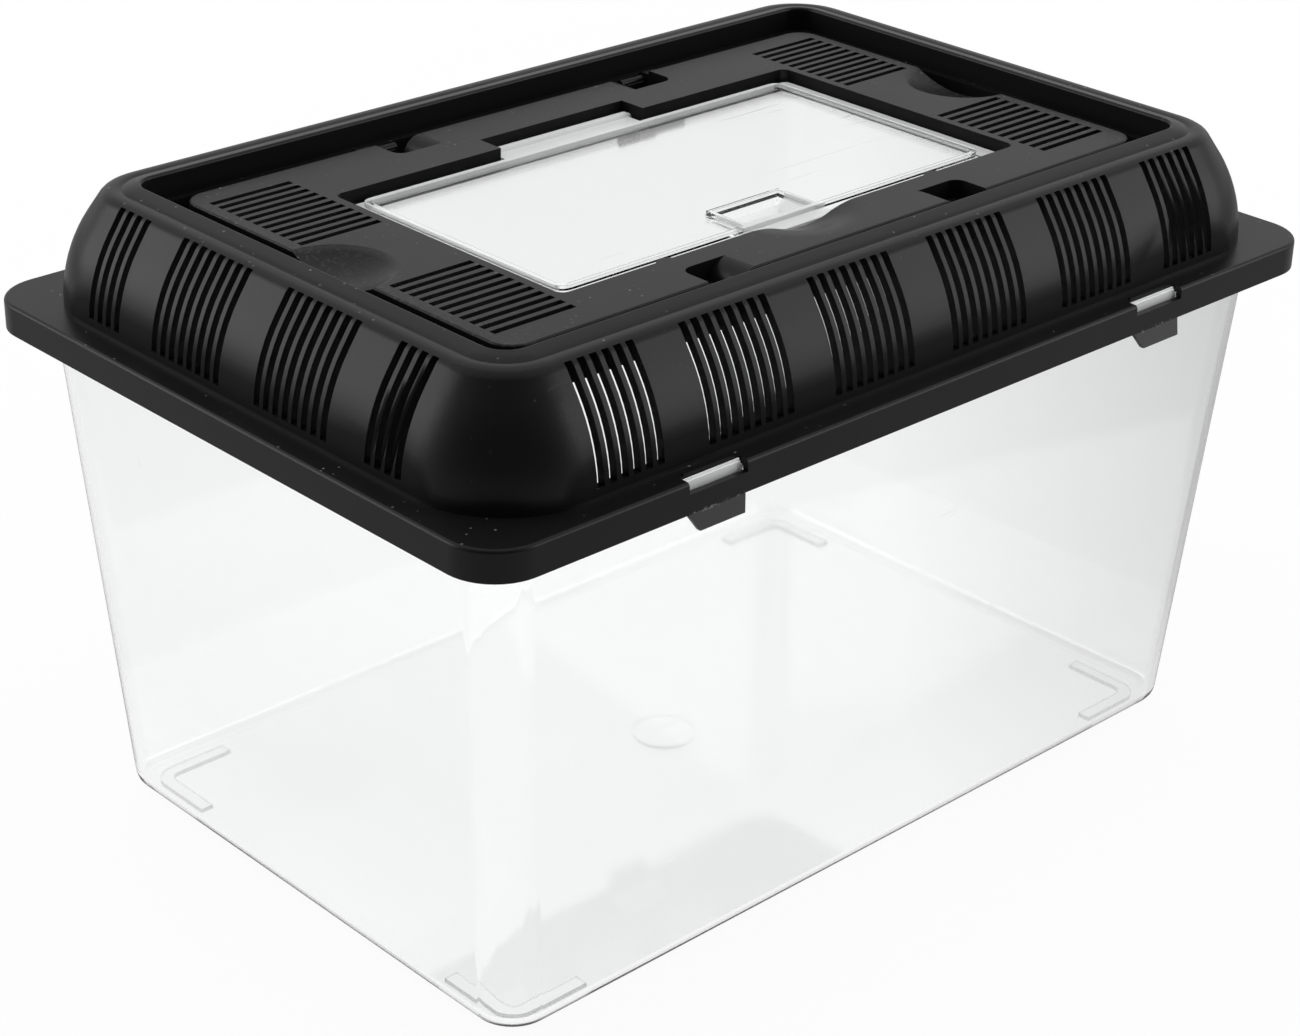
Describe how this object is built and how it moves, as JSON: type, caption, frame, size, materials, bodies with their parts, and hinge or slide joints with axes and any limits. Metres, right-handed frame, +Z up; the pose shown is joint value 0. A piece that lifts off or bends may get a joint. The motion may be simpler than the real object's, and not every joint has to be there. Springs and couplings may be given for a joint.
{
  "type": "breeding box",
  "caption": "Clear tapered plastic tank under a black vented hood, with a hinged door panel in the hood's top and a clear hinged feeding hatch in the panel.",
  "frame": {"origin": "middle of the footprint on the plane that the feet stand on", "axes": "+Z up, +X along the long side, the front long side faces -Y and the hinges are towards +Y"},
  "size_m": [0.359, 0.246, 0.2144],
  "materials": {
    "clear_tank": "clear moulded styrene, polished, fine scratches",
    "black_hood": "black moulded plastic, satin",
    "black_door": "black moulded plastic, satin",
    "clear_hatch": "clear moulded styrene, polished"
  },
  "bodies": {
    "tank": {"tank": "clear_tank"},
    "hood": {"hood": "black_hood"},
    "door": {"door_panel": "black_door"},
    "hatch": {"hatch": "clear_hatch"}
  },
  "joints": [
    {"name": "lid_lift", "type": "slide", "parent": "tank", "child": "hood", "axis": [0, 0, 1], "range_m": [0, 0.06]},
    {"name": "door_hinge", "type": "hinge", "parent": "hood", "child": "door", "pos_m": [0, 0.0793, 0.206], "axis": [-1, 0, 0], "range_deg": [0, 105]},
    {"name": "hatch_hinge", "type": "hinge", "parent": "door", "child": "hatch", "pos_m": [0, 0.055, 0.2048], "axis": [-1, 0, 0], "range_deg": [0, 105]}
  ]
}
